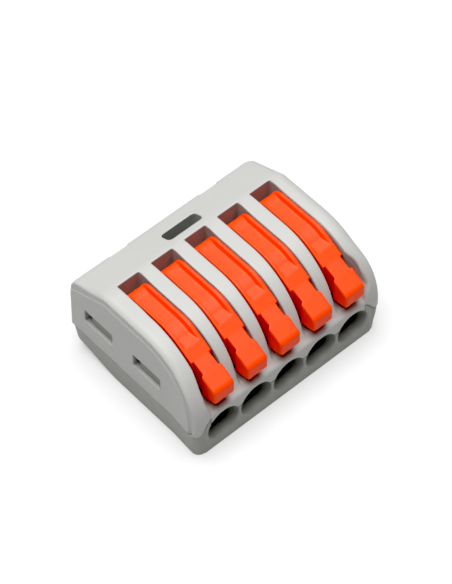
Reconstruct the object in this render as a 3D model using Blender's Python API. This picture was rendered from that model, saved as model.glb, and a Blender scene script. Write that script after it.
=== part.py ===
"""Five-pole lever wire connector, levers closed, standing on its base.

The model is in metres with +Z up. +X runs across the poles, and a wire enters a pole along +Y,
from the front. The origin is the middle of the bounding box's underside.
The sizes below are in millimetres: MM turns them into metres as each mesh is made.

Each pole holds a lever, a bent cage-clamp spring and one tongue of the current bar that all
poles share. The lever turns in sockets in the ribs of the housing, and its hub is a cam: a flat
rests over the spring while the lever is shut, and the round side pushes the spring down as the
lever stands up.
"""
import math

import bmesh
import bpy
from mathutils import Matrix, Vector

MM = 0.001
MERGE = 0.0001

# Overall size
WIDTH = 28.5
DEPTH = 22.35
HEIGHT = 14.5
POLES = 5
PITCH = 5.05
LEVER_OVERHANG = 0.2
FRONT = LEVER_OVERHANG - DEPTH / 2
REAR = DEPTH / 2
BELOW = -2.0
ABOVE = HEIGHT + 2.0

# Joint between the base and the housing
SEAM = 4.1
FRONT_SEAM = 4.4
SEAM_GAP = 0.12
FRONT_WALL = 2.0
FIT = 0.2

# Housing
SHELL_FOOT = SEAM + SEAM_GAP
SHELL_HALF = WIDTH / 2 - 0.1
SHELL_TOP_HALF = 14.0
END_ARC = 9.3
RIB_ARC = 8.9
RIB_ARC_Y = -0.93
END_WALL_INSIDE = 12.2
ROOF_EDGE_Y = 5.3
ROOF_END = (REAR, 12.0)
ROOF_ROUND = 1.4
END_ROUND = 1.1
SHELF = 6.9
SHELF_LIP = 6.5
SLOT_HALF = 1.55
SLOT_FRONT_HALF = 1.75
SLOT_REAR = 5.4
SLOT_STRAIGHT_Y = -1.0
SLOT_FRONT_Y = -9.0
CHAMBER_HALF = 1.95
CHAMBER_ROOF = 10.0
CHAMBER_FRONT = -4.2
CHAMBER_REAR = 9.4
TUNNEL_ROOF = 5.9
TUNNEL_FRONT = -9.4
CORE_HALF = 12.55
CORE_BOTTOM = 1.45
CORE_REAR = 10.0
TEST_SLOT_HALF = 2.55
TEST_SLOT_Y = (6.75, 8.45)
TEST_SLOT_FLOOR = 9.5
TEST_SLOT_CORNER = 0.6

# Wire entries
ENTRY_Z = 3.6
ENTRY_RADIUS = 2.0
MOUTH_RADIUS = 2.4
MOUTH_OVERCUT = 0.4
ENTRY_SIDES = 32

# Snap joints of the base
END_CATCHES = ((-4.6, 0.1), (3.75, 8.6))
REAR_CATCHES = ((-8.35, -5.45), (5.45, 8.35))
WINDOW = (6.9, 8.9)
TAB_TOP = 9.1
TAB = (12.2, 12.9)
REAR_TAB = (9.5, 10.1)
TAB_SIDE_ROOM = 0.3
TAB_FLEX_ROOM = 0.55
CATCH_REACH = 0.8
CATCH_EDGE = 0.3
CATCH_ROOT = 0.3
CATCH_ROOM = 0.12
CATCH_SIDE_ROOM = 0.15
GROOVE_DEPTH = 0.45
GROOVE_Z = 9.7

# Base
BASE_FOOT_INSET = 0.4
FLOOR = 1.2
ROOT_DEPTH = 0.3
BASE_INSIDE_HALF = 12.75
BASE_INSIDE_REAR = 10.2
CORNER_ROUND = 1.1
POST_HALF = 0.5

# Current bar
BAR = (5.8, 6.5)
BAR_HALF = 11.9
RAIL = (-0.5, 2.5)
BAR_ROOM = 0.1
TONGUE_HALF = 1.0
TONGUE_FRONT = -3.7

# Levers
PIVOT = Vector((0.0, 1.5, 11.1))
HUB = 3.4
FLAT = 1.45
CROWN = Vector((2.6, 12.55))
CROWN_RADIUS = HEIGHT - CROWN.y
LEVER_HALF = 1.38
PAD_HALF = 1.5
NECK_HALF = 1.17
NECK = (-8.75, -7.1)
TRUNNION = 1.0
TRUNNION_HALF = 1.8
TRUNNION_SIDES = 24
SOCKET = 1.3
SHOULDER = (-2.6, 3.6)
CHANNEL_HALF = 0.72
CHANNEL_DEPTH = 0.45
CHANNEL_FRONT = -4.7

# Cage-clamp springs
STRIP = 0.3
SPRING_HALF = 1.7
LOWER_LEG = 6.75
UPPER_LEG = 9.35
LOOP_Y = 4.4
LEG_FRONT = -1.4
CAGE_Y = -2.4
CAGE_BEND = 0.5
CAGE_BOTTOM = 4.75
CAGE_WINDOW = (5.55, 8.4)
CAGE_WINDOW_HALF = 1.2

# An outline's two directions, and the direction it is extruded in
PLAN = Matrix.Identity(4)
SIDE = Matrix(((0, 0, 1, 0), (1, 0, 0, 0), (0, 1, 0, 0), (0, 0, 0, 1)))
FACE = Matrix(((1, 0, 0, 0), (0, 0, -1, 0), (0, 1, 0, 0), (0, 0, 0, 1)))

# Turns from standing along Z to lying along X or Y
ALONG_X = Matrix.Rotation(math.radians(90), 4, "Y")
ALONG_Y = Matrix.Rotation(math.radians(-90), 4, "X")


def pole_places():
    """X of each pole's middle."""
    return [(k - (POLES - 1) / 2) * PITCH for k in range(POLES)]


def wall_places():
    """X of the middle of each wall between two poles."""
    return [x + PITCH / 2 for x in pole_places()[:-1]]


def arc(centre, radius, start, end, steps):
    """Points on an arc in the outline's plane, in degrees, both ends included."""
    angles = [math.radians(start + (end - start) * i / steps) for i in range(steps + 1)]
    return [(centre[0] + radius * math.cos(a), centre[1] + radius * math.sin(a)) for a in angles]


def add_object(name, mesh, collection):
    obj = bpy.data.objects.new(name, mesh)
    collection.objects.link(obj)
    return obj


def mesh_from(name, bm):
    """A mesh in metres from a bmesh in millimetres."""
    bmesh.ops.transform(bm, matrix=Matrix.Scale(MM, 4), verts=bm.verts)
    bmesh.ops.recalc_face_normals(bm, faces=bm.faces)
    mesh = bpy.data.meshes.new(name)
    bm.to_mesh(mesh)
    bm.free()
    return mesh


def extruded(outline, low, high, plane):
    """A bmesh of a flat outline between two distances along the plane's third direction."""
    curve = bpy.data.curves.new("outline", "CURVE")
    curve.dimensions = "2D"
    curve.fill_mode = "BOTH"
    curve.extrude = (high - low) / 2
    spline = curve.splines.new("POLY")
    spline.points.add(len(outline) - 1)
    for point, (u, v) in zip(spline.points, outline):
        point.co = (u, v, 0, 1)
    spline.use_cyclic_u = True
    holder = bpy.data.objects.new("outline", curve)
    bpy.context.scene.collection.objects.link(holder)
    bpy.context.view_layer.update()
    flat = bpy.data.meshes.new_from_object(holder.evaluated_get(bpy.context.evaluated_depsgraph_get()))
    bm = bmesh.new()
    bm.from_mesh(flat)
    bmesh.ops.remove_doubles(bm, verts=bm.verts, dist=MERGE)
    for side in (-1, 1):
        cap = [f for f in bm.faces if all(v.co.z * side > 0 for v in f.verts)]
        bmesh.ops.dissolve_faces(bm, faces=cap)
    place = plane @ Matrix.Translation((0, 0, (low + high) / 2))
    bmesh.ops.transform(bm, matrix=place, verts=bm.verts)
    bpy.data.objects.remove(holder)
    bpy.data.curves.remove(curve)
    bpy.data.meshes.remove(flat)
    return bm


def prism(name, outline, low, high, plane, collection):
    return add_object(name, mesh_from(name, extruded(outline, low, high, plane)), collection)


def joined(name, pieces, collection):
    """Several bmeshes as one object."""
    whole = bmesh.new()
    for piece in pieces:
        mesh = bpy.data.meshes.new("piece")
        piece.to_mesh(mesh)
        piece.free()
        whole.from_mesh(mesh)
        bpy.data.meshes.remove(mesh)
    return add_object(name, mesh_from(name, whole), collection)


def prism_at_poles(name, outline, half, collection):
    """The same side outline extruded at every pole, as one cutter."""
    pieces = [extruded(outline, x - half, x + half, SIDE) for x in pole_places()]
    return joined(name, pieces, collection)


def add_block(bm, low, high):
    """A box between two corners, added to a bmesh."""
    low = Vector(low)
    high = Vector(high)
    size = high - low
    middle = Matrix.Translation((low + high) / 2)
    return bmesh.ops.create_cube(bm, size=1.0, matrix=middle @ Matrix.Diagonal((*size, 1.0)))["verts"]


def blocks(name, corners, collection):
    """Separate boxes in one object."""
    bm = bmesh.new()
    for low, high in corners:
        add_block(bm, low, high)
    return add_object(name, mesh_from(name, bm), collection)


def add_cone(bm, middle, length, radius_low, radius_high, turn, sides):
    """A round piece added to a bmesh, turned from standing along Z."""
    bmesh.ops.create_cone(
        bm, cap_ends=True, segments=sides, radius1=radius_low, radius2=radius_high,
        depth=length, matrix=Matrix.Translation(middle) @ turn,
    )


def boolean(body, tool, operation="DIFFERENCE"):
    """Cut the body with a tool, or join the tool to it with UNION."""
    modifier = body.modifiers.new(tool.name, "BOOLEAN")
    modifier.operation = operation
    modifier.solver = "EXACT"
    modifier.object = tool
    tool.hide_render = True
    tool.display_type = "WIRE"


def baked_mesh(obj):
    """The object's mesh with its modifiers applied."""
    bpy.context.view_layer.update()
    return bpy.data.meshes.new_from_object(obj.evaluated_get(bpy.context.evaluated_depsgraph_get()))


def plastic_or_metal(name, colour, roughness, metallic=0.0):
    material = bpy.data.materials.new(name)
    material.use_nodes = True
    shader = material.node_tree.nodes["Principled BSDF"]
    shader.inputs["Base Color"].default_value = (*colour, 1.0)
    shader.inputs["Roughness"].default_value = roughness
    shader.inputs["Metallic"].default_value = metallic
    return material


def dress(obj, material):
    """One material, and smooth shading with sharp edges kept."""
    obj.data.materials.clear()
    obj.data.materials.append(material)
    obj.data.shade_smooth()
    obj.data.set_sharp_from_angle(angle=math.radians(30))


def shell_outline():
    """The housing's side view at its end walls, from the seam round over the top."""
    centre = (FRONT + END_ARC, HEIGHT - END_ARC)
    low = 180 + math.degrees(math.asin((centre[1] - SHELL_FOOT) / END_ARC))
    slope = math.atan2(HEIGHT - ROOF_END[1], ROOF_END[0] - ROOF_EDGE_Y)
    round_z = ROOF_END[1] + ROOF_ROUND * math.tan(slope) - ROOF_ROUND / math.cos(slope)
    round_centre = (REAR - ROOF_ROUND, round_z)
    points = arc(centre, END_ARC, low, 90, 22)
    points.append((ROOF_EDGE_Y, HEIGHT))
    points += arc(round_centre, ROOF_ROUND, 90 - math.degrees(slope), 0, 4)
    points.append((REAR, SHELL_FOOT))
    return points


def shell_body(collection):
    """The outer block of the housing: end faces lean in towards the top and are rounded there."""
    bm = extruded(shell_outline(), -SHELL_HALF, SHELL_HALF, SIDE)
    lean = (SHELL_HALF - SHELL_TOP_HALF) / (HEIGHT - SHELL_FOOT)
    for vert in bm.verts:
        vert.co.x -= math.copysign(lean * (vert.co.z - SHELL_FOOT), vert.co.x)
    rim = [
        edge for edge in bm.edges
        if max(v.co.z for v in edge.verts) > SHELL_FOOT + 0.1
        and abs(edge.verts[0].co.x - edge.verts[1].co.x) < WIDTH / 2
    ]
    bmesh.ops.bevel(bm, geom=rim, offset=END_ROUND, segments=4, profile=0.5, affect="EDGES")
    return add_object("top_housing", mesh_from("top_housing", bm), collection)


def front_relief(collection):
    """Cutter that lowers the ribs and the shelf between the two end walls."""
    centre = (RIB_ARC_Y, HEIGHT - RIB_ARC)
    low = 180 - math.degrees(math.asin((SHELF - centre[1]) / RIB_ARC))
    outline = [(FRONT - 2.0, SHELF_LIP), (FRONT, SHELF_LIP)]
    outline += arc(centre, RIB_ARC, low, 90, 18)
    outline += [(RIB_ARC_Y, ABOVE), (FRONT - 2.0, ABOVE)]
    return prism("cut_front_relief", outline, -END_WALL_INSIDE, END_WALL_INSIDE, SIDE, collection)


def lever_slots(collection):
    """Cutters for the slots, a little wider towards the front."""
    half_plan = [
        (SLOT_HALF, SLOT_REAR), (SLOT_HALF, SLOT_STRAIGHT_Y),
        (SLOT_FRONT_HALF, SLOT_FRONT_Y), (SLOT_FRONT_HALF, FRONT - 2.0),
    ]
    slots = []
    for x in pole_places():
        plan = [(x + u, v) for u, v in half_plan] + [(x - u, v) for u, v in reversed(half_plan)]
        slots.append(extruded(plan, SHELF, ABOVE, PLAN))
    return joined("cut_lever_slots", slots, collection)


def chambers(collection):
    """Cutters for the room of each spring, with the wire tunnel in front of it, open below."""
    outline = [
        (TUNNEL_FRONT, BELOW), (CHAMBER_REAR, BELOW), (CHAMBER_REAR, CHAMBER_ROOF),
        (CHAMBER_FRONT, CHAMBER_ROOF), (CHAMBER_FRONT, TUNNEL_ROOF), (TUNNEL_FRONT, TUNNEL_ROOF),
    ]
    return prism_at_poles("cut_chambers", outline, CHAMBER_HALF, collection)


def sockets(collection):
    """Cutters for the lever bearings: round above, open below so that a lever goes in from there."""
    outline = arc((PIVOT.y, PIVOT.z), SOCKET, 0, 180, 14)
    outline += [(PIVOT.y - SOCKET, CHAMBER_ROOF - 0.5), (PIVOT.y + SOCKET, CHAMBER_ROOF - 0.5)]
    return prism_at_poles("cut_sockets", outline, CHAMBER_HALF, collection)


def entries(name, collection):
    """Cutters for the wire entries: a round bore that flares to its mouth at the front."""
    bm = bmesh.new()
    length = FRONT_WALL + MOUTH_OVERCUT
    mouth = MOUTH_RADIUS + (MOUTH_RADIUS - ENTRY_RADIUS) * MOUTH_OVERCUT / FRONT_WALL
    for x in pole_places():
        middle = (x, FRONT + FRONT_WALL - length / 2, ENTRY_Z)
        add_cone(bm, middle, length, mouth, ENTRY_RADIUS, ALONG_Y, ENTRY_SIDES)
    return add_object(name, mesh_from(name, bm), collection)


def snap_openings(collection):
    """Cutters for the windows of the snap joints, the pockets behind them and the rear grooves."""
    windows = []
    pockets = []
    grooves = []
    pocket_top = TAB_TOP + TAB_SIDE_ROOM
    for side in (-1, 1):
        for low, high in END_CATCHES:
            inner, outer = sorted((side * (TAB[0] - TAB_FLEX_ROOM), side * (TAB[1] + FIT)))
            pocket_low = (inner, low - TAB_SIDE_ROOM, BELOW)
            pockets.append((pocket_low, (outer, high + TAB_SIDE_ROOM, pocket_top)))
            inner, outer = sorted((side * TAB[1], side * WIDTH))
            windows.append(((inner, low, WINDOW[0]), (outer, high, WINDOW[1])))
    for low, high in REAR_CATCHES:
        pocket_low = (low - TAB_SIDE_ROOM, REAR_TAB[0] - TAB_FLEX_ROOM, BELOW)
        pockets.append((pocket_low, (high + TAB_SIDE_ROOM, REAR_TAB[1] + FIT, pocket_top)))
        windows.append(((low, REAR_TAB[1], WINDOW[0]), (high, REAR + 1.0, WINDOW[1])))
        grooves.append(((low, REAR - GROOVE_DEPTH, GROOVE_Z), (high, REAR + 1.0, ABOVE)))
    return [
        blocks("cut_tab_pockets", pockets, collection),
        blocks("cut_catch_windows", windows, collection),
        blocks("cut_rear_grooves", grooves, collection),
    ]


def test_slot(collection):
    """Cutter for the rounded slot behind the middle lever."""
    u = TEST_SLOT_HALF - TEST_SLOT_CORNER
    low = TEST_SLOT_Y[0] + TEST_SLOT_CORNER
    high = TEST_SLOT_Y[1] - TEST_SLOT_CORNER
    plan = []
    for index, centre in enumerate(((u, high), (-u, high), (-u, low), (u, low))):
        plan += arc(centre, TEST_SLOT_CORNER, 90 * index, 90 * index + 90, 4)
    return prism("cut_test_slot", plan, TEST_SLOT_FLOOR, ABOVE, PLAN, collection)


def top_housing(parts, cutters):
    """The light shell with its ribs, lever slots, spring chambers and upper half of the entries."""
    body = shell_body(parts)
    inner_front = FRONT + FRONT_WALL + FIT
    core = ((-CORE_HALF, inner_front, CORE_BOTTOM), (CORE_HALF, CORE_REAR, SEAM + 1.0))
    boolean(body, blocks("add_core", [core], cutters), "UNION")
    tools = [front_relief(cutters), lever_slots(cutters), chambers(cutters), sockets(cutters)]
    tools.append(entries("cut_upper_entries", cutters))
    tools += snap_openings(cutters)
    tools.append(test_slot(cutters))
    room = BAR_HALF + FIT
    rail_room = ((-room, RAIL[0] - FIT, BELOW), (room, RAIL[1] + FIT, BAR[1] + BAR_ROOM))
    front_step = ((-WIDTH, FRONT - 2.0, BELOW), (WIDTH, inner_front, FRONT_SEAM + SEAM_GAP))
    tools.append(blocks("cut_rail_room", [rail_room], cutters))
    tools.append(blocks("cut_front_step", [front_step], cutters))
    for tool in tools:
        boolean(body, tool)
    return body


def base_plate(collection):
    """The tray of the base: rounded corners, walls leaning out to the seam, hollow above the floor."""
    bm = bmesh.new()
    add_block(bm, (-WIDTH / 2, FRONT, 0), (WIDTH / 2, REAR, FRONT_SEAM))
    upright = [e for e in bm.edges if abs(e.verts[0].co.z - e.verts[1].co.z) > 1.0]
    bmesh.ops.bevel(bm, geom=upright, offset=CORNER_ROUND, segments=4, profile=0.5, affect="EDGES")
    everything = bm.verts[:] + bm.edges[:] + bm.faces[:]
    bmesh.ops.bisect_plane(bm, geom=everything, plane_co=(0, 0, SEAM), plane_no=(0, 0, 1))
    for vert in bm.verts:
        if vert.co.z < SEAM / 2:
            vert.co.x *= 1 - BASE_FOOT_INSET / (WIDTH / 2)
            vert.co.y *= 1 - BASE_FOOT_INSET / REAR if vert.co.y > 0 else 1.0
    return add_object("base_cover", mesh_from("base_cover", bm), collection)


def catch_outline(face, direction):
    """Side view of a snap catch: square below, sloping back to the tab above."""
    inside = face - direction * CATCH_ROOT
    outside = face + direction * CATCH_REACH
    low = WINDOW[0] + CATCH_ROOM
    high = WINDOW[1] - CATCH_ROOM
    return [(inside, low), (outside, low), (outside, low + CATCH_EDGE), (face, high), (inside, high)]


def base_tabs(cutters):
    """Pieces joined to the base: snap tabs at the ends and rear, each with its catch."""
    corners = []
    catches = []
    for side in (-1, 1):
        outline = catch_outline(side * TAB[1], side)
        inner, outer = sorted((side * TAB[0], side * TAB[1]))
        for index, (low, high) in enumerate(END_CATCHES, start=1):
            corners.append(((inner, low, FLOOR - ROOT_DEPTH), (outer, high, TAB_TOP)))
            name = "add_end_catch_{}_{}".format("left" if side < 0 else "right", index)
            ends = (CATCH_SIDE_ROOM - high, -CATCH_SIDE_ROOM - low)
            catches.append(prism(name, outline, *ends, FACE, cutters))
    outline = catch_outline(REAR_TAB[1], 1)
    for index, (low, high) in enumerate(REAR_CATCHES, start=1):
        corners.append(((low, REAR_TAB[0], FLOOR - ROOT_DEPTH), (high, REAR_TAB[1], TAB_TOP)))
        ends = (low + CATCH_SIDE_ROOM, high - CATCH_SIDE_ROOM)
        catches.append(prism("add_rear_catch_{}".format(index), outline, *ends, SIDE, cutters))
    return [blocks("add_tabs", corners, cutters)] + catches


def base_cover(parts, cutters):
    """The dark cover that closes the housing from below and holds the lower half of the entries."""
    body = base_plate(parts)
    wall = FRONT + FRONT_WALL
    inside = ((-BASE_INSIDE_HALF, wall, FLOOR), (BASE_INSIDE_HALF, BASE_INSIDE_REAR, ABOVE))
    boolean(body, blocks("cut_base_inside", [inside], cutters))
    rear_step = ((-WIDTH, wall, SEAM), (WIDTH, REAR + 1.0, ABOVE))
    boolean(body, blocks("cut_rear_step", [rear_step], cutters))
    foot = FLOOR - ROOT_DEPTH
    posts = [
        ((x - POST_HALF, RAIL[0], foot), (x + POST_HALF, RAIL[1], BAR[0] - BAR_ROOM))
        for x in wall_places()
    ]
    boolean(body, blocks("add_posts", posts, cutters), "UNION")
    for tool in base_tabs(cutters):
        boolean(body, tool, "UNION")
    boolean(body, entries("cut_lower_entries", cutters))
    return body


def current_bar(parts):
    """A flat comb: a rail across all poles, with one tongue that reaches forward in each."""
    plan = [(BAR_HALF, RAIL[0]), (BAR_HALF, RAIL[1]), (-BAR_HALF, RAIL[1]), (-BAR_HALF, RAIL[0])]
    for x in pole_places():
        plan += [
            (x - TONGUE_HALF, RAIL[0]), (x - TONGUE_HALF, TONGUE_FRONT),
            (x + TONGUE_HALF, TONGUE_FRONT), (x + TONGUE_HALF, RAIL[0]),
        ]
    return prism("current_bar", plan, *BAR, PLAN, parts)


def lever_outline():
    """Side view of a shut lever, measured from its pivot."""
    tip = -DEPTH / 2
    corner = math.degrees(math.asin(FLAT / HUB))
    flat_z = PIVOT.z - FLAT
    rise = CROWN - PIVOT.yz
    crown_start = math.degrees(math.atan2(rise.y, rise.x) - math.acos((HUB - CROWN_RADIUS) / rise.length))
    points = arc(PIVOT.yz, HUB, -corner, crown_start, 6)
    points += arc(CROWN, CROWN_RADIUS, crown_start, 90, 8)
    points.append((SHOULDER[0], HEIGHT))
    points += arc((SHOULDER[0], HEIGHT - SHOULDER[1]), SHOULDER[1], 100, 120, 2)
    points += [(-7.2, 12.4), (-9.0, 11.6), (tip + 0.25, 10.6)]
    points += [(tip, 10.3), (tip, 9.3), (tip + 0.15, 9.0)]
    points += [(-10.3, 8.45), (-9.4, 8.0), (-3.2, flat_z)]
    return [(y - PIVOT.y, z - PIVOT.z) for y, z in points]


def lever_mesh(cutters):
    """One lever about its pivot: cam hub, arm with a shallow channel, narrow neck and finger pad."""
    body = prism("lever_blank", lever_outline(), -PAD_HALF, PAD_HALF, SIDE, cutters)
    trim = []
    for side in (-1, 1):
        for half, low, high in ((LEVER_HALF, NECK[1] - MERGE, REAR), (NECK_HALF, *NECK)):
            inner, outer = sorted((side * half, side * WIDTH))
            trim.append(((inner, low - PIVOT.y, -HEIGHT), (outer, high - PIVOT.y, HEIGHT)))
    for index, corners in enumerate(trim, start=1):
        boolean(body, blocks("cut_lever_side_{}".format(index), [corners], cutters))
    reach = PIVOT.y - CHANNEL_FRONT
    channel = ((-CHANNEL_HALF, -reach, HUB - CHANNEL_DEPTH), (CHANNEL_HALF, HUB, HUB + 1.0))
    boolean(body, blocks("cut_lever_channel", [channel], cutters))
    pins = bmesh.new()
    add_cone(pins, (0, 0, 0), 2 * TRUNNION_HALF, TRUNNION, TRUNNION, ALONG_X, TRUNNION_SIDES)
    boolean(body, add_object("add_trunnions", mesh_from("add_trunnions", pins), cutters), "UNION")
    mesh = baked_mesh(body)
    mesh.name = "lever"
    body.hide_render = True
    body.display_type = "WIRE"
    return mesh


def spring_path():
    """Middle line of the bent strip, from the leg on the bar round the loop to the cage's foot."""
    radius = (UPPER_LEG - LOWER_LEG) / 2
    path = [(LEG_FRONT, LOWER_LEG)]
    path += arc((LOOP_Y, LOWER_LEG + radius), radius, -90, 90, 12)
    path += arc((CAGE_Y + CAGE_BEND, UPPER_LEG - CAGE_BEND), CAGE_BEND, 90, 180, 5)
    path.append((CAGE_Y, CAGE_BOTTOM))
    return path


def strip_outline(path, thickness):
    """The outline of a strip of even thickness along a path."""
    left = []
    right = []
    for i, point in enumerate(path):
        before = Vector(path[max(i - 1, 0)])
        after = Vector(path[min(i + 1, len(path) - 1)])
        along = (after - before).normalized()
        normal = Vector((-along.y, along.x)) * thickness / 2
        left.append(tuple(Vector(point) + normal))
        right.append(tuple(Vector(point) - normal))
    return left + right[::-1]


def spring_mesh(cutters):
    """One cage-clamp spring at X = 0."""
    outline = strip_outline(spring_path(), STRIP)
    body = prism("spring_blank", outline, -SPRING_HALF, SPRING_HALF, SIDE, cutters)
    window = (
        (-CAGE_WINDOW_HALF, CAGE_Y - STRIP, CAGE_WINDOW[0]),
        (CAGE_WINDOW_HALF, CAGE_Y + STRIP, CAGE_WINDOW[1]),
    )
    boolean(body, blocks("cut_cage_window", [window], cutters))
    mesh = baked_mesh(body)
    mesh.name = "clamp_spring"
    body.hide_render = True
    body.display_type = "WIRE"
    return mesh


def main():
    for obj in list(bpy.data.objects):
        bpy.data.objects.remove(obj, do_unlink=True)
    parts = bpy.data.collections.new("lever_wire_connector")
    cutters = bpy.data.collections.new("cutters")
    for collection in (parts, cutters):
        bpy.context.scene.collection.children.link(collection)

    light_grey = plastic_or_metal("light_grey_polyamide", (0.62, 0.62, 0.60), 0.5)
    dark_grey = plastic_or_metal("dark_grey_polyamide", (0.22, 0.22, 0.21), 0.5)
    orange = plastic_or_metal("orange_polyamide", (1.0, 0.13, 0.03), 0.4)
    tinned_copper = plastic_or_metal("tinned_copper", (0.72, 0.70, 0.66), 0.3, 1.0)
    spring_steel = plastic_or_metal("spring_steel", (0.55, 0.55, 0.56), 0.3, 1.0)

    dress(top_housing(parts, cutters), light_grey)
    dress(base_cover(parts, cutters), dark_grey)
    dress(current_bar(parts), tinned_copper)
    lever = lever_mesh(cutters)
    spring = spring_mesh(cutters)
    for number, x in enumerate(pole_places(), start=1):
        turned = add_object("lever_{}".format(number), lever, parts)
        turned.location = Vector((x, PIVOT.y, PIVOT.z)) * MM
        dress(turned, orange)
        bent = add_object("clamp_spring_{}".format(number), spring, parts)
        bent.location = (x * MM, 0, 0)
        dress(bent, spring_steel)


main()
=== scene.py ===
"""Looks of the five-pole lever wire connector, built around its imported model.

Every piece is a solid that is written as a distance field, in millimetres in the model's frame,
and then meshed: below zero is inside. Fields are joined and cut with rounded edges, as the
edges of moulded parts are.
"""
import math

import bpy
import numpy as np
from mathutils import Matrix, Vector


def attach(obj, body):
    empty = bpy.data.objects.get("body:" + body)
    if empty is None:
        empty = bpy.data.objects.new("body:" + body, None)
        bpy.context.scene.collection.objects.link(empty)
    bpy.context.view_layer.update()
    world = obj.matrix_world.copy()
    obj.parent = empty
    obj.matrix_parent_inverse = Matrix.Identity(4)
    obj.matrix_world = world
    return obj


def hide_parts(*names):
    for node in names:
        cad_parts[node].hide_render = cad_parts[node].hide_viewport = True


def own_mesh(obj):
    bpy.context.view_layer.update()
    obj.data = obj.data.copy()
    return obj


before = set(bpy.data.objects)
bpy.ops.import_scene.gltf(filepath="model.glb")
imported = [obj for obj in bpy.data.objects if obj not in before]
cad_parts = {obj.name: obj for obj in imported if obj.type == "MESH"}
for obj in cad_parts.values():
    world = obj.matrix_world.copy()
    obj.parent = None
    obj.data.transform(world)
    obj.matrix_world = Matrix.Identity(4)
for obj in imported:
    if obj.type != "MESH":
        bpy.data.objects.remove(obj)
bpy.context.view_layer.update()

MM = 0.001
GRID = 0.11
FINE_GRID = 0.08

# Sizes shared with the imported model
POLES = 5
PITCH = 5.05
WIDTH, DEPTH, HEIGHT = 28.5, 22.35, 14.5
FRONT, REAR = -10.975, DEPTH / 2
SEAM, SEAM_GAP = 4.1, 0.05
PIVOT_Y, PIVOT_Z = 1.5, 11.1
OUTER_POLE = PITCH * (POLES - 1) / 2

# Places past every surface, where a cut ends
BELOW, ABOVE, BESIDE, BEHIND = -2, 18, 16, 13

# Radii of inner edges, of the rims of openings, and of the corners of windows
SHARP, EDGE, RIM, WINDOW_CORNER = 0.05, 0.1, 0.12, 0.15


# Fields

def round_max(a, b, r):
    """Where both fields are inside, with the edge between them rounded."""
    return np.minimum(-r, np.maximum(a, b)) + np.hypot(np.maximum(r + a, 0), np.maximum(r + b, 0))


def round_min(a, b, r):
    """Where either field is inside, with a fillet between them."""
    return -round_max(-a, -b, r)


def carve(a, b, r):
    """The first field without the second, with a rounded rim."""
    return round_max(a, -b, r)


def span(value, low, high):
    """Distance outside the range low to high."""
    return np.abs(value - (low + high) / 2) - (high - low) / 2


def block(x, y, z, low, high, r=EDGE):
    """A box between two corners with rounded edges."""
    sides = [span(v, a + r, b - r) for v, a, b in zip((x, y, z), low, high)]
    outside = np.sqrt(sum(np.maximum(s, 0) ** 2 for s in sides))
    inside = np.minimum(np.maximum(np.maximum(sides[0], sides[1]), sides[2]), 0)
    return outside + inside - r


def from_pole(x):
    """Distance along X from the nearest pole's middle."""
    return x - PITCH * np.clip(np.round(x / PITCH), -(POLES // 2), POLES // 2)


def ramp(value, start, end):
    """0 at start, 1 at end, smooth in between."""
    t = np.clip((value - start) / (end - start), 0, 1)
    return t * t * (3 - 2 * t)


def near_front(y):
    """1 at the front, where both end faces swell, and 0 from the middle back."""
    return ramp(-y, 6.0, 10.0)


def outline_distance(points, u, v):
    """Distance to a closed outline in a plane, below zero inside."""
    nearest = None
    inside = None
    for (ax, ay), (bx, by) in zip(points, points[1:] + points[:1]):
        dx, dy = bx - ax, by - ay
        t = np.clip(((u - ax) * dx + (v - ay) * dy) / (dx * dx + dy * dy), 0, 1)
        gap = (u - ax - t * dx) ** 2 + (v - ay - t * dy) ** 2
        nearest = gap if nearest is None else np.minimum(nearest, gap)
        if dy != 0:
            crosses = ((ay > v) != (by > v)) & (u < (v - ay) * dx / dy + ax)
            inside = crosses if inside is None else inside ^ crosses
    return np.where(inside, -1.0, 1.0) * np.sqrt(nearest)


def arc(centre, radius, start, end, steps):
    """Points on an arc, in degrees, both ends included."""
    angles = [math.radians(start + (end - start) * i / steps) for i in range(steps + 1)]
    return [(centre[0] + radius * math.cos(a), centre[1] + radius * math.sin(a)) for a in angles]


DEGREES_PER_STEP = 3


def rounded(corners):
    """Points of a closed outline given as (u, v, radius of the corner)."""
    points = []
    neighbours = zip(corners[-1:] + corners[:-1], corners, corners[1:] + corners[:1])
    for before, here, after in neighbours:
        point = Vector(here[:2])
        back = (Vector(before[:2]) - point).normalized()
        ahead = (Vector(after[:2]) - point).normalized()
        half = back.angle(ahead) / 2
        if here[2] == 0:
            points.append(tuple(point))
            continue
        middle = point + (back + ahead).normalized() * here[2] / math.sin(half)
        first = point + back * here[2] / math.tan(half) - middle
        turn = 2 * half - math.pi if back.cross(ahead) > 0 else math.pi - 2 * half
        steps = max(3, round(abs(math.degrees(turn)) / DEGREES_PER_STEP))
        for i in range(steps + 1):
            points.append(tuple(middle + Matrix.Rotation(turn * i / steps, 2) @ first))
    return points


# Meshing

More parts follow.
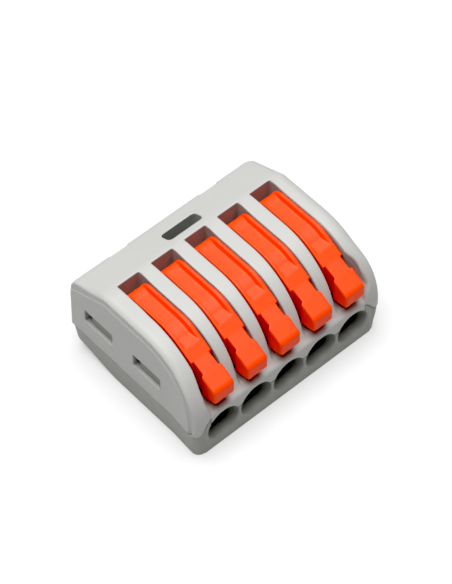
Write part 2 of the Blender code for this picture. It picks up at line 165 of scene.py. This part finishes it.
def zero_surface(field, low, high, step):
    """Points and quads on the field's zero surface: one point in each grid cell that it crosses."""
    axes = [np.arange(a - 2 * step, b + 3 * step, step) for a, b in zip(low, high)]
    values = field(*np.meshgrid(*axes, indexing="ij", sparse=True)).astype(np.float32)
    inside = values < 0
    cells = tuple(n - 1 for n in values.shape)
    corners = [(i, j, k) for i in (0, 1) for j in (0, 1) for k in (0, 1)]
    count = np.zeros(cells, np.uint8)
    for i, j, k in corners:
        count += inside[i:i + cells[0], j:j + cells[1], k:k + cells[2]]
    found = np.argwhere((count > 0) & (count < len(corners)))
    total = np.zeros((len(found), 3))
    crossings = np.zeros(len(found))
    for a in corners:
        for axis in range(3):
            if a[axis]:
                continue
            b = tuple(1 if n == axis else a[n] for n in range(3))
            va = values[tuple((found + a).T)]
            vb = values[tuple((found + b).T)]
            crossed = (va < 0) != (vb < 0)
            share = np.where(crossed, va / np.where(crossed, va - vb, 1), 0)
            place = np.array(a, float) + share[:, None] * (np.array(b) - np.array(a))
            total += place * crossed[:, None]
            crossings += crossed
    origin = np.array([axis[0] for axis in axes])
    points = origin + (found + total / crossings[:, None]) * step

    number = np.full(cells, -1, np.int32)
    number[tuple(found.T)] = np.arange(len(found))
    quads = []
    for axis in range(3):
        u, v = (axis + 1) % 3, (axis + 2) % 3
        here = [slice(1, -1)] * 3
        there = [slice(1, -1)] * 3
        there[axis] = slice(2, None)
        change = inside[tuple(here)] != inside[tuple(there)]
        where = np.argwhere(change) + 1
        outward = inside[tuple(where.T)]
        ring = []
        for du, dv in ((-1, -1), (0, -1), (0, 0), (-1, 0)):
            cell = where.copy()
            cell[:, u] += du
            cell[:, v] += dv
            ring.append(number[tuple(cell.T)])
        ring = np.stack(ring, 1)
        quads.append(np.where(outward[:, None], ring, ring[:, ::-1]))
    return points, np.concatenate(quads)


SETTLE_ROUNDS, SLOPE_REACH, LEAST_SLOPE = 4, 0.02, 0.05


def settle(points, field, step):
    """Pull points onto the field's zero surface along its slope, half a grid step at most each time."""
    for _ in range(SETTLE_ROUNDS):
        slope = np.empty_like(points)
        for axis in range(3):
            shift = np.zeros(3)
            shift[axis] = SLOPE_REACH
            rise = field(*(points + shift).T) - field(*(points - shift).T)
            slope[:, axis] = rise / (2 * SLOPE_REACH)
        size = np.maximum((slope ** 2).sum(1), LEAST_SLOPE)
        move = -field(*points.T)[:, None] * slope / size[:, None]
        length = np.linalg.norm(move, axis=1)[:, None]
        points = points + move * np.minimum(1, 0.5 * step / np.maximum(length, 1e-9))
    return points


def solid(name, field, low, high, step, keep):
    """A mesh piece of the field between two corners, thinned to the share keep of its faces."""
    points, quads = zero_surface(field, low, high, step)
    points = settle(points, field, step) * MM
    mesh = bpy.data.meshes.new(name)
    mesh.vertices.add(len(points))
    mesh.vertices.foreach_set("co", points.astype(np.float32).ravel())
    mesh.loops.add(quads.size)
    mesh.loops.foreach_set("vertex_index", quads.astype(np.int32).ravel())
    mesh.polygons.add(len(quads))
    mesh.polygons.foreach_set("loop_start", np.arange(0, quads.size, 4, dtype=np.int32))
    mesh.update(calc_edges=True)
    piece = bpy.data.objects.new(name, mesh)
    bpy.context.scene.collection.objects.link(piece)
    thin = piece.modifiers.new("thin", "DECIMATE")
    thin.ratio = keep
    bpy.context.view_layer.update()
    thinned = piece.evaluated_get(bpy.context.evaluated_depsgraph_get())
    final = bpy.data.meshes.new_from_object(thinned)
    final.name = name
    piece.modifiers.clear()
    piece.data = final
    bpy.data.meshes.remove(mesh)
    final.shade_smooth()
    return piece


# Housing: the outside

SHELL_HALF, SHELL_TOP_HALF, SWELL = 14.2, 14.0, 0.3
END_ARC, RIB_ARC, RIB_ARC_Y = 9.3, 8.9, -0.93
ROOF_EDGE_Y, ROOF_SLOPE = 5.3, math.atan2(2.5, 5.875)
ROOF_EDGE_RADIUS, REAR_RADIUS, END_RADIUS = 0.4, 1.0, 1.2
CROWN_SPILL = 0.15
# How much the rounding along the crown loses at the front and the left rear, and gains along the right
FRONT_CUT, LEFT_CUT, LEFT_CUT_TOP, RIGHT_GAIN = 0.5, 0.8, 0.5, 0.4
PANEL_BORDER, PANEL_STEP, PANEL_BLUR = 1.25, 0.1, 0.06
COVE_DEPTH, COVE_OFFSET, COVE_WIDTH = 0.16, 0.28, 0.25


def shell_outside(x, y, z):
    front = np.hypot(np.minimum(y - FRONT - END_ARC, 0), np.maximum(z - HEIGHT + END_ARC, 0)) - END_ARC
    roof = (z - HEIGHT) * math.cos(ROOF_SLOPE) + (y - ROOF_EDGE_Y) * math.sin(ROOF_SLOPE)
    profile = round_max(front, roof, ROOF_EDGE_RADIUS)
    side = round_max(profile, y - REAR, REAR_RADIUS)
    lean = (SHELL_HALF - SHELL_TOP_HALF) / (HEIGHT - SEAM)
    swollen = near_front(y)
    ends = np.abs(x) - SHELL_HALF + lean * (z - SEAM) - SWELL * swollen
    left = -ramp(y, 7.0, 10.0) * (LEFT_CUT - (LEFT_CUT - LEFT_CUT_TOP) * ramp(z, 9.5, 12.0))
    right = RIGHT_GAIN * (1 - swollen)
    corner = END_RADIUS - FRONT_CUT * swollen + np.where(x < 0, left, right)
    body = round_max(side, ends - CROWN_SPILL * (1 - swollen), corner)
    # The flat panel of an end face stands proud of the rounded border, with a soft cove in front of it
    edge = profile + PANEL_BORDER - 0.1 * swollen
    cove = COVE_DEPTH * swollen * np.exp(-((edge - COVE_OFFSET) / COVE_WIDTH) ** 2)
    panel = ends + PANEL_STEP * ramp(edge, -PANEL_BLUR, PANEL_BLUR) + cove
    return round_max(body, panel, SHARP)


# Housing: slots, wire entries and front plate

SLOT_REAR, SLOT_CORNER, SLOT_FLOOR_RADIUS, SLOT_RIM = 5.5, 0.15, 0.3, 0.2
SLOT_LEFT, SLOT_RIGHT, SLOT_RIGHT_REAR = 1.475, 1.63, 0.08
SLOT_FLARE, FLARE_START, FLARE_LENGTH = 0.25, -1.0, 8.0
# Finger room in the end walls: its depth, and how far in front of the origin it starts and is full
RIGHT_ROOM, RIGHT_RELIEF = ((0.62, 7.0, 8.7), (0.33, 9.2, 10.4)), 0.06
LEFT_ROOM = ((0.3, 7.5, 9.8), (0.08, -1.5, 0.5))
SHELF, SHELF_SLOPE, SHELF_EDGE = 6.9, 0.35, -9.8
ROOM_BOTTOM, ROOM_TOP = SHELF - 0.4, 8.8
ENTRY_Z, ENTRY_RADIUS, MOUTH_RADIUS, MOUTH_SAG = 3.45, 2.1, 2.36, 0.1
ENTRY_THROAT, ENTRY_END = -8.9, -7.0
FRONT_SEAM, FRONT_WALL = 4.4, 3.7
PLATE_DEPTH, PLATE_HALF = 2.0, 13.4
EAR_RADIUS, EAR_INNER = 3.15, OUTER_POLE + 1.9


def room_depth(y, steps):
    """How far a wall stands back at Y, as the sum of its steps."""
    return sum(depth * ramp(-y, start, end) for depth, start, end in steps)


def slot_reach(x, y, z):
    """From a pole's middle to its slot's wall: wider to the front, with finger room in the end walls."""
    right = from_pole(x) > 0
    flare = SLOT_FLARE * np.clip((FLARE_START - y) / FLARE_LENGTH, 0, 1.2)
    room = np.where(right, room_depth(y, RIGHT_ROOM) - RIGHT_RELIEF, room_depth(y, LEFT_ROOM))
    room = room * ramp(z, ROOM_BOTTOM, ROOM_TOP)
    reach = np.where(right, SLOT_RIGHT + SLOT_RIGHT_REAR * ramp(y, 2.5, 5.0), SLOT_LEFT)
    return reach + flare + np.where(np.abs(x) > OUTER_POLE, room, 0)


def above_shelf(y, z):
    """Height above the shelf that the lever pads reach over, which falls at its front edge."""
    return z - SHELF - SHELF_SLOPE * np.minimum(y - SHELF_EDGE, 0)


def lever_slot(x, y, z):
    walls = np.abs(from_pole(x)) - slot_reach(x, y, z)
    return round_max(round_max(walls, y - SLOT_REAR, SLOT_CORNER), -above_shelf(y, z), SLOT_FLOOR_RADIUS)


def wire_entry(x, y, z):
    """The round bores, which flare towards the front and most of all below."""
    flare = np.clip((ENTRY_THROAT - y) / (ENTRY_THROAT - FRONT), 0, 1.3)
    below = MOUTH_SAG * ramp(ENTRY_Z - z, 0, 2.0)
    radius = ENTRY_RADIUS + (MOUTH_RADIUS - ENTRY_RADIUS + below) * flare ** 2
    return np.maximum(np.hypot(from_pole(x), z - ENTRY_Z) - radius, y - ENTRY_END)


def plate(x, y, z):
    """The base's front plate: it stands above the seam, and most of all beside the outer wire entries."""
    ax = np.abs(x)
    ear = np.maximum(np.hypot(ax - OUTER_POLE, z - ENTRY_Z) - EAR_RADIUS, EAR_INNER - ax)
    face = np.maximum(np.minimum(z - FRONT_SEAM, ear), ax - PLATE_HALF)
    return np.maximum(face, y - FRONT - PLATE_DEPTH)


# Housing: the rooms inside, and the windows for the base's snap tabs

CHAMBER_HALF, CHAMBER_ROOF = 1.95, 10.0
CHAMBER_FRONT, CHAMBER_REAR = -4.2, 9.4
TUNNEL_ROOF, TUNNEL_FRONT = 5.9, -7.2
SOCKET_RADIUS = 1.3
CORE_HALF, CORE_FRONT, CORE_REAR = 12.55, FRONT + FRONT_WALL + 0.2, 10.0
CORE_BOTTOM, CORE_TOP = 1.45, SEAM + 0.6
SHELF_FILLET, WALL_FILLET, BROW_RADIUS = 0.9, 0.3, 0.3
RAIL, RAIL_ROOM_HALF = (-0.5, 2.5), 12.1
BAR, BAR_HALF = (5.8, 6.5), 11.9
CLEARANCE, FACE_CLEARANCE = 0.3, 0.2
END_CATCHES = ((-4.6, 0.1), (3.75, 8.6))
REAR_CATCH = (5.45, 8.35)
WINDOW, TAB_TOP = (6.9, 8.9), 9.1
# A tab's inner and outer face, and how far in its room starts
END_TAB, END_ROOM = (12.2, 12.9), 11.7
REAR_TAB, REAR_ROOM = (9.5, 10.1), 8.9
NOTCH_DEPTH, NOTCH_BOTTOM = 0.6, WINDOW[1] + 0.8
TEST_SLOT_Y, TEST_SLOT_HALF, TEST_SLOT_BOTTOM, TEST_SLOT_CORNER = (6.75, 8.45), 2.6, 9.5, 0.5


def snap_window(body, out, along, z, reach, tab, inside, outside):
    """Cut a wall for a tab of the base: room from inside to the tab's face, and a window for its hook."""
    start, end = reach
    low = (inside, start - CLEARANCE, BELOW)
    high = (tab[1] + FACE_CLEARANCE, end + CLEARANCE, TAB_TOP + CLEARANCE)
    body = carve(body, block(out, along, z, low, high), SHARP)
    low, high = (tab[1], start, WINDOW[0]), (outside, end, WINDOW[1])
    return carve(body, block(out, along, z, low, high, WINDOW_CORNER), RIM)


def inner_rooms(x, y, z):
    """Each pole's spring chamber, the wire's way into it and the sockets of the lever's trunnions."""
    chamber = np.maximum(span(y, CHAMBER_FRONT, CHAMBER_REAR), z - CHAMBER_ROOF)
    tunnel = np.maximum(span(y, TUNNEL_FRONT, CHAMBER_FRONT + 0.5), z - TUNNEL_ROOF)
    round_top = np.hypot(y - PIVOT_Y, np.maximum(z - PIVOT_Z, 0)) - SOCKET_RADIUS
    socket = np.maximum(round_top, z - PIVOT_Z - SOCKET_RADIUS)
    rooms = np.minimum(np.minimum(chamber, tunnel), socket)
    return np.maximum(np.abs(from_pole(x)) - CHAMBER_HALF, rooms)


def housing(x, y, z):
    ax = np.abs(x)
    ribs = np.hypot(np.minimum(y - RIB_ARC_Y, 0), np.maximum(z - HEIGHT + RIB_ARC, 0)) - RIB_ARC
    end_walls = OUTER_POLE + slot_reach(x, y, z) - ax
    front = round_min(round_min(ribs, above_shelf(y, z), SHELF_FILLET), end_walls, WALL_FILLET)
    body = round_max(shell_outside(x, y, z), front, BROW_RADIUS)
    body = round_max(body, SEAM + SEAM_GAP - z, SHARP)
    low, high = (-CORE_HALF, CORE_FRONT, CORE_BOTTOM), (CORE_HALF, CORE_REAR, CORE_TOP)
    body = round_min(body, block(x, y, z, low, high), EDGE)
    body = carve(body, plate(x, y, z) - SEAM_GAP, 0.04)
    body = carve(body, lever_slot(x, y, z), SLOT_RIM)
    body = carve(body, inner_rooms(x, y, z), EDGE)
    body = carve(body, wire_entry(x, y, z), RIM)
    low = (-RAIL_ROOM_HALF, RAIL[0] - CLEARANCE, BELOW)
    high = (RAIL_ROOM_HALF, RAIL[1] + CLEARANCE, BAR[1] + 0.1)
    body = carve(body, block(x, y, z, low, high), SHARP)
    for catch_span in END_CATCHES:
        body = snap_window(body, ax, y, z, catch_span, END_TAB, END_ROOM, BESIDE)
    body = snap_window(body, y, ax, z, REAR_CATCH, REAR_TAB, REAR_ROOM, BEHIND)
    low, high = (REAR_CATCH[0], REAR - NOTCH_DEPTH, NOTCH_BOTTOM), (REAR_CATCH[1], BEHIND, ABOVE)
    body = carve(body, block(ax, y, z, low, high, WINDOW_CORNER), RIM)
    low, high = (-TEST_SLOT_HALF, TEST_SLOT_Y[0], TEST_SLOT_BOTTOM), (TEST_SLOT_HALF, TEST_SLOT_Y[1], ABOVE)
    return carve(body, block(x, y, z, low, high, TEST_SLOT_CORNER), 0.15)


# Base

BASE_HALF, BASE_INSET, BASE_SWELL = 14.25, 0.4, 0.2
# The floor's top, and where the posts and tabs start inside it
FLOOR, ROOT = 1.2, 0.9
BASIN_HALF, BASIN_REAR, BASIN_TOP = 12.75, 10.2, 9
POSTS, POST_HALF = (0.5 * PITCH, 1.5 * PITCH), 0.5
# The faint line that bounds the front plate: where it is and how deep
PLATE_LINE, PLATE_LINE_STEP = (12.98, 13.08), 0.1
CATCH_REACH, CATCH_FALL, CATCH_GAP, CATCH_LIP, CATCH_ROOT = 0.8, 0.35, 0.12, 0.3, 0.3


def catch(out, along, z, start, end):
    """A snap hook on a tab: square below, leaning back towards the top."""
    bottom, top = WINDOW[0] + CATCH_GAP, WINDOW[1] - CATCH_GAP
    slope = math.atan2(CATCH_FALL, top - bottom - CATCH_LIP)
    face = (out - CATCH_REACH) * math.cos(slope) + (z - bottom - CATCH_LIP) * math.sin(slope)
    side = round_max(round_max(face, out - CATCH_REACH, SHARP), span(z, bottom, top), 0.08)
    return np.maximum(np.maximum(side, -CATCH_ROOT - out), span(along, start + 0.15, end - 0.7))


def snap_tab(body, out, along, z, reach, tab):
    """Add a tab that stands on the floor, and its hook."""
    start, end = reach
    body = round_min(body, block(out, along, z, (tab[0], start, ROOT), (tab[1], end, TAB_TOP)), EDGE)
    return np.minimum(body, catch(out - tab[1], along, z, start, end))


def base(x, y, z):
    ax = np.abs(x)
    swollen = near_front(y)
    lean = BASE_INSET * (1 - np.minimum(z / SEAM, 1))
    front = FRONT - y + PLATE_LINE_STEP * ramp(ax, *PLATE_LINE)
    end = ax - BASE_HALF - BASE_SWELL * swollen + lean
    corner = 1.0 - 0.35 * ramp(z, 0.5, 3.0) * swollen
    footprint = round_max(end, np.maximum(front, y - REAR + lean), corner)
    body = round_max(footprint, -z, 0.12 + 2.1 * ramp(y, 3.0, 10.8))
    body = round_max(body, round_min(z - SEAM, plate(x, y, z), SHARP), SHARP)
    low, high = (-BASIN_HALF, FRONT + FRONT_WALL, FLOOR), (BASIN_HALF, BASIN_REAR, BASIN_TOP)
    body = carve(body, block(x, y, z, low, high), EDGE)
    for post in POSTS:
        low, high = (post - POST_HALF, RAIL[0], ROOT), (post + POST_HALF, RAIL[1], BAR[0] - 0.1)
        body = round_min(body, block(ax, y, z, low, high), 0.15)
    for catch_span in END_CATCHES:
        body = snap_tab(body, ax, y, z, catch_span, END_TAB)
    body = snap_tab(body, y, ax, z, REAR_CATCH, REAR_TAB)
    return carve(body, wire_entry(x, y, z), 0.1 + 0.2 * ramp(ENTRY_Z - z, 0, 1.5))


# Levers

HUB, FLAT = 3.4, 1.45
CROWN, CROWN_START = (2.6, 12.55), 15.6
CROWN_RADIUS = HEIGHT - CROWN[1]
LEVER_TIP = -DEPTH / 2
BODY_HALF, BODY_SWELL, NECK_HALF, PAD_HALF = 1.42, 0.08, 1.16, 1.5
# How far in front of the origin the body turns into the neck and the neck into the pad
NECK, PAD = (7.12, 7.22), (8.7, 9.0)
CHANNEL_LEFT, CHANNEL_RIGHT = 1.1, 0.98
CHANNEL_DEPTH, CHANNEL_LEAST, CHANNEL_END = 0.55, 0.05, -5.7
WALL_TILT = 0.91
TRUNNION_RADIUS, TRUNNION_HALF = 1.0, 1.8


def lever_side():
    """Side outline of a shut lever."""
    corner = math.degrees(math.asin(FLAT / HUB))
    rear = arc((PIVOT_Y, PIVOT_Z), HUB, -corner, CROWN_START, 20)
    rear += arc(CROWN, CROWN_RADIUS, CROWN_START, 90, 30)
    return rounded([(y, z, 0) for y, z in rear] + [
        (-3.55, HEIGHT, 5.0), (-7.2, 12.42, 2.5), (-9.0, 11.62, 2.0), (LEVER_TIP, 10.55, 0.85),
        (LEVER_TIP, 8.5, 0.4), (-10.2, 8.25, 0.5), (-9.2, 8.2, 0.4), (-3.2, PIVOT_Z - FLAT, 1.0)])


LEVER_SIDE = lever_side()


def lever(x, y, z):
    """One lever at X = 0."""
    ax = np.abs(x)
    side = outline_distance(LEVER_SIDE, y, z)
    half = BODY_HALF + BODY_SWELL * ramp(-y, 1.0, 4.0)
    half = half + (NECK_HALF - half) * ramp(-y, *NECK) + (PAD_HALF - NECK_HALF) * ramp(-y, *PAD)
    body = round_max(side, ax - half, 0.15 + 0.15 * ramp(-y, 8.8, 10.2))
    # The channel gets shallower towards the neck, and its right wall slopes more than its left one
    depth = CHANNEL_LEAST + (CHANNEL_DEPTH - CHANNEL_LEAST) * ramp(-y, -4.3, -2.5)
    depth = round_min(depth, 0.4 * (y - CHANNEL_END), 0.3)
    walls = WALL_TILT * np.where(x < 0, -x - CHANNEL_LEFT - 0.15 * side, x - CHANNEL_RIGHT - 0.45 * side)
    channel = np.maximum(round_max(walls, -side - depth, 0.08), PIVOT_Z - z)
    body = carve(body, channel, 0.07)
    trunnion = np.hypot(y - PIVOT_Y, z - PIVOT_Z) - TRUNNION_RADIUS
    return round_min(body, round_max(trunnion, ax - TRUNNION_HALF, EDGE), SHARP)


# Springs and current bar

STRIP, SPRING_HALF = 0.3, 1.7
LOWER_LEG, UPPER_LEG = 6.75, 9.35
LOOP_Y, LEG_END_Y = 4.4, -1.4
CAGE_Y, CAGE_BOTTOM, CAGE_BEND = -2.4, 4.75, 0.5
CAGE_WINDOW, CAGE_WINDOW_HALF = (5.55, 8.4), 1.2
LOOP_KEEP = 0.27
CAGE_ANCHOR, CAGE_KEEP = -10.0, 0.902
TONGUE_FRONT, TONGUE_HALF = -3.7, 1.0


def spring_loop():
    """Middle line of the bent strip, from the leg on the bar round to the end of the upper leg."""
    radius = (UPPER_LEG - LOWER_LEG) / 2
    turn = arc((LOOP_Y, LOWER_LEG + radius), radius, -90, 90, 24)
    return [(LEG_END_Y, LOWER_LEG)] + turn + [(CAGE_Y + 0.7, UPPER_LEG)]


def spring_cage():
    """Middle line of the strip's end, bent down to the cage that holds the wire."""
    bend = arc((CAGE_Y + CAGE_BEND, UPPER_LEG - CAGE_BEND), CAGE_BEND, 90, 180, 8)
    return [(CAGE_Y + 0.65, UPPER_LEG)] + bend + [(CAGE_Y, CAGE_BOTTOM)]


def strip(path, x, y, z):
    """A flat strip bent along a path, at X = 0."""
    nearest = None
    for (ay, az), (by, bz) in zip(path, path[1:]):
        dy, dz = by - ay, bz - az
        t = np.clip(((y - ay) * dy + (z - az) * dz) / (dy * dy + dz * dz), 0, 1)
        gap = (y - ay - t * dy) ** 2 + (z - az - t * dz) ** 2
        nearest = gap if nearest is None else np.minimum(nearest, gap)
    return round_max(np.sqrt(nearest) - STRIP / 2, np.abs(x) - SPRING_HALF, 0.06)


LOOP_PATH, CAGE_PATH = spring_loop(), spring_cage()


def loop(x, y, z):
    return strip(LOOP_PATH, x, y, z)


def cage(x, y, z):
    low = (-CAGE_WINDOW_HALF, -4, CAGE_WINDOW[0])
    high = (CAGE_WINDOW_HALF, CAGE_Y + STRIP, CAGE_WINDOW[1])
    return carve(strip(CAGE_PATH, x, y, z), block(x, y, z, low, high, 0.3), SHARP)


def bar(x, y, z):
    """The comb that joins all poles."""
    rail = block(x, y, z, (-BAR_HALF, RAIL[0], BAR[0]), (BAR_HALF, RAIL[1], BAR[1]), 0.12)
    low, high = (-TONGUE_HALF, TONGUE_FRONT, BAR[0]), (TONGUE_HALF, RAIL[0] + 0.5, BAR[1])
    return round_min(rail, block(from_pole(x), y, z, low, high, 0.12), 0.15)


# Materials

SPECULAR = 0.3
MOTTLE_SCALE, GLOSS_SCALE, GRAIN_SCALE = 450, 900, 5000
GRAIN_HEIGHT, LINE_HEIGHT, LINE_STRENGTH = 0.00003, 0.00001, 0.3
PLASTIC_GLOSS_RANGE, METAL_GLOSS_RANGE = 0.06, 0.08


def new_material(name, colour, roughness, metallic=0.0):
    material = bpy.data.materials.new(name)
    material.use_nodes = True
    shader = material.node_tree.nodes["Principled BSDF"]
    shader.inputs["Base Color"].default_value = (*colour, 1.0)
    shader.inputs["Roughness"].default_value = roughness
    shader.inputs["Metallic"].default_value = metallic
    shader.inputs["Specular IOR Level"].default_value = SPECULAR
    return material, material.node_tree, shader


def object_place(tree):
    return tree.nodes.new("ShaderNodeTexCoord").outputs["Object"]


def noise(tree, coordinates, scale, detail=2.0):
    node = tree.nodes.new("ShaderNodeTexNoise")
    node.inputs["Scale"].default_value = scale
    node.inputs["Detail"].default_value = detail
    tree.links.new(coordinates, node.inputs["Vector"])
    return node.outputs["Fac"]


def vary(tree, value, middle, reach, target):
    """Drive an input by a 0 to 1 value, within reach of middle."""
    node = tree.nodes.new("ShaderNodeMapRange")
    node.inputs["To Min"].default_value = middle - reach
    node.inputs["To Max"].default_value = middle + reach
    tree.links.new(value, node.inputs["Value"])
    tree.links.new(node.outputs["Result"], target)


def add_bump(tree, shader, height, strength, distance):
    bump = tree.nodes.new("ShaderNodeBump")
    bump.inputs["Strength"].default_value = strength
    bump.inputs["Distance"].default_value = distance
    tree.links.new(height, bump.inputs["Height"])
    tree.links.new(bump.outputs["Normal"], shader.inputs["Normal"])


def moulded_plastic(name, colour, roughness, mottle, grain):
    """Moulded polyamide: a fine spark-eroded grain, with slight mottling of colour and gloss."""
    material, tree, shader = new_material(name, colour, roughness)
    place = object_place(tree)
    shade = tree.nodes.new("ShaderNodeMixRGB")
    shade.blend_type = "MULTIPLY"
    shade.inputs["Fac"].default_value = 1.0
    shade.inputs["Color1"].default_value = (*colour, 1.0)
    vary(tree, noise(tree, place, MOTTLE_SCALE, 3), 1, mottle, shade.inputs["Color2"])
    tree.links.new(shade.outputs["Color"], shader.inputs["Base Color"])
    vary(tree, noise(tree, place, GLOSS_SCALE), roughness, PLASTIC_GLOSS_RANGE, shader.inputs["Roughness"])
    add_bump(tree, shader, noise(tree, place, GRAIN_SCALE), grain, GRAIN_HEIGHT)
    return material


def rolled_metal(name, colour, roughness, line_scale):
    """Rolled strip: faint lines along the axes with the low scale."""
    material, tree, shader = new_material(name, colour, roughness, 1.0)
    stretch = tree.nodes.new("ShaderNodeMapping")
    stretch.inputs["Scale"].default_value = line_scale
    tree.links.new(object_place(tree), stretch.inputs["Vector"])
    lines = noise(tree, stretch.outputs["Vector"], 1.0, 4)
    vary(tree, lines, roughness, METAL_GLOSS_RANGE, shader.inputs["Roughness"])
    add_bump(tree, shader, lines, LINE_STRENGTH, LINE_HEIGHT)
    return material


# Stage

CAMERA_AZIMUTH, CAMERA_ELEVATION, CAMERA_ROLL = -41.65, 52.89, 0.28
CAMERA_AIM, CAMERA_DISTANCE = (0.727, 0.767, 7.0), 314.12
LENS, SENSOR = 166.28, 36.0
BLACK_LEVEL = 0.045
WHITE = (1.0, 1.0, 1.0, 1.0)
WORLD_STRENGTH = 0.04
FLOOR_SIZE, FLOOR_SHADE, FLOOR_ROUGHNESS, FLOOR_GLOW = 6.0, 0.38, 0.8, 0.43


def camera():
    """The camera looks at a point over the middle of the connector from its front left."""
    azimuth, elevation = math.radians(CAMERA_AZIMUTH), math.radians(CAMERA_ELEVATION)
    level = math.cos(elevation)
    back = Vector((math.sin(azimuth) * level, -math.cos(azimuth) * level, math.sin(elevation)))
    data = bpy.data.cameras.new("camera")
    data.lens = LENS
    data.sensor_width = SENSOR
    data.clip_start = 0.01
    data.clip_end = 10.0
    view = bpy.data.objects.new("camera", data)
    bpy.context.scene.collection.objects.link(view)
    view.rotation_mode = "QUATERNION"
    roll = Matrix.Rotation(-math.radians(CAMERA_ROLL), 3, "Z").to_quaternion()
    view.rotation_quaternion = (-back).to_track_quat("-Z", "Y") @ roll
    view.location = Vector(CAMERA_AIM) * MM + back * (CAMERA_DISTANCE * MM)
    bpy.context.scene.camera = view


def area_light(name, place, size, power):
    """A round light that faces the origin."""
    data = bpy.data.lights.new(name, "AREA")
    data.shape = "DISK"
    data.size = size
    data.energy = power
    light = bpy.data.objects.new(name, data)
    bpy.context.scene.collection.objects.link(light)
    light.location = place
    light.rotation_mode = "QUATERNION"
    light.rotation_quaternion = (-Vector(place)).to_track_quat("-Z", "Y")


def studio():
    """A pale floor that glows a little, a wide soft light above and a weak one from the left."""
    scene = bpy.context.scene
    scene.view_settings.view_transform = "Standard"
    scene.view_settings.use_curve_mapping = True
    scene.view_settings.curve_mapping.black_level = (BLACK_LEVEL,) * 3
    scene.view_settings.curve_mapping.update()
    world = bpy.data.worlds.new("studio")
    world.use_nodes = True
    background = world.node_tree.nodes["Background"]
    background.inputs["Color"].default_value = WHITE
    background.inputs["Strength"].default_value = WORLD_STRENGTH
    scene.world = world
    area_light("top_light", (-0.04, 0.02, 0.6), size=0.6, power=7.3)
    area_light("left_light", (-0.55, 0.15, 0.25), size=0.4, power=0.08)
    bpy.ops.mesh.primitive_grid_add(x_subdivisions=4, y_subdivisions=4, size=FLOOR_SIZE, location=(0, 0, 0))
    floor = bpy.context.object
    floor.name = "floor"
    material, _, shader = new_material("floor_white", (FLOOR_SHADE,) * 3, FLOOR_ROUGHNESS)
    shader.inputs["Emission Color"].default_value = WHITE
    shader.inputs["Emission Strength"].default_value = FLOOR_GLOW
    floor.data.materials.append(material)


# Pieces

def copy_at(blank, name, place):
    mesh = blank.data.copy()
    mesh.transform(place)
    piece = bpy.data.objects.new(name, mesh)
    bpy.context.scene.collection.objects.link(piece)
    return piece


def dress(piece, material, body, slot, *nodes):
    piece.data.materials.clear()
    piece.data.materials.append(material)
    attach(piece, body)
    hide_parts(*nodes)


camera()
studio()

light_grey = moulded_plastic("light_grey_polyamide", (0.42, 0.42, 0.408), 0.5, mottle=0.02, grain=0.35)
dark_grey = moulded_plastic("dark_grey_polyamide", (0.30, 0.30, 0.283), 0.5, mottle=0.03, grain=0.35)
orange = moulded_plastic("orange_polyamide", (0.82, 0.076, 0.024), 0.5, mottle=0.02, grain=0.2)
tinned = rolled_metal("tinned_copper", (0.75, 0.74, 0.72), 0.3, line_scale=(300, 9000, 300))
steel = rolled_metal("spring_steel", (0.58, 0.58, 0.60), 0.25, line_scale=(9000, 300, 300))

# The boxes that the meshing searches hold each whole piece, swollen front corners included
SHELL_BOTTOM, SPRING_TOP = 1.4, 9.5
THIN, THIN_SHELL = 0.3, 0.25
half_width = WIDTH / 2 + SWELL
low, high = (-half_width, FRONT, SHELL_BOTTOM), (half_width, REAR, HEIGHT)
shell = solid("housing_shell", housing, low, high, GRID, THIN_SHELL)
dress(shell, light_grey, "connector", "housing_plastic", "top_housing")
low, high = (-half_width, FRONT, 0), (half_width, REAR, TAB_TOP)
cover = solid("base_shell", base, low, high, GRID, THIN_SHELL)
dress(cover, dark_grey, "connector", "base_plastic", "base_cover")
low, high = (-BAR_HALF, TONGUE_FRONT, BAR[0]), (BAR_HALF, RAIL[1], BAR[1])
comb = solid("current_bar_comb", bar, low, high, FINE_GRID, THIN)
dress(comb, tinned, "connector", "tinned_copper", "current_bar")

low, high = (-TRUNNION_HALF, LEVER_TIP, 8.0), (TRUNNION_HALF, PIVOT_Y + HUB, HEIGHT)
lever_blank = solid("lever_blank", lever, low, high, FINE_GRID, THIN)
low, high = (-SPRING_HALF, -1.9, 6.6), (SPRING_HALF, 5.9, SPRING_TOP)
loop_blank = solid("loop_blank", loop, low, high, FINE_GRID, THIN)
low, high = (-SPRING_HALF, -2.6, CAGE_BOTTOM), (SPRING_HALF, -1.5, SPRING_TOP)
cage_blank = solid("cage_blank", cage, low, high, FINE_GRID, THIN)
for number in range(1, POLES + 1):
    place = Matrix.Translation(((number - 1 - POLES // 2) * PITCH * MM, 0, 0))
    own_lever, own_spring = "lever_{}".format(number), "clamp_spring_{}".format(number)
    arm = copy_at(lever_blank, "lever_arm_{}".format(number), place)
    dress(arm, orange, own_lever, "lever_plastic", own_lever)
    # In the connector the shut lever leaves the spring free, and as it opens its cam flattens the loop and
    # the cage drops; here both pieces keep their shut shape and stay with the connector body.
    for blank, name, anchor, keep in (
        (loop_blank, "spring_loop_{}", LOWER_LEG, LOOP_KEEP),
        (cage_blank, "spring_cage_{}", CAGE_ANCHOR, CAGE_KEEP),
    ):
        piece = copy_at(blank, name.format(number), place)
        dress(piece, steel, "connector", "spring_steel", own_spring)
        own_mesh(piece)
for blank in (lever_blank, loop_blank, cage_blank):
    bpy.data.objects.remove(blank)
